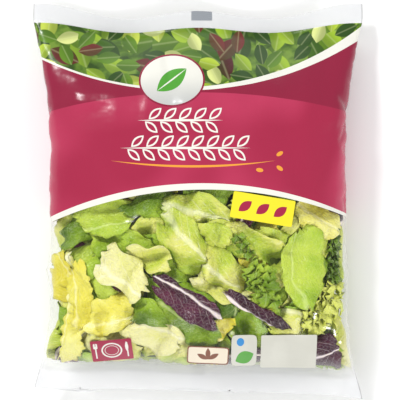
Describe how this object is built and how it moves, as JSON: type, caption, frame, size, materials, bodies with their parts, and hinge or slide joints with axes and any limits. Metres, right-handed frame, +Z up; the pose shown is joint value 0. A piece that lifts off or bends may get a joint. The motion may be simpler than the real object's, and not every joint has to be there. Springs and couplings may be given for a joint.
{
  "type": "bag of salad leaves",
  "caption": "Sealed clear pillow bag of mixed cut salad leaves with a printed crimson band, lying on its back.",
  "frame": {"origin": "on the floor, under the middle of the bag's outline", "axes": "+Z up, out of the printed front; +Y from the bottom seal to the top seal; +X to the right as the front is read"},
  "size_m": [0.27, 0.325, 0.0771],
  "materials": {
    "clear_film": "gloss",
    "pale_leaf": "satin",
    "green_leaf": "satin",
    "curly_leaf": "satin",
    "red_leaf": "satin"
  },
  "bodies": {
    "root": {"salad_bag": "clear_film"}
  },
  "joints": []
}
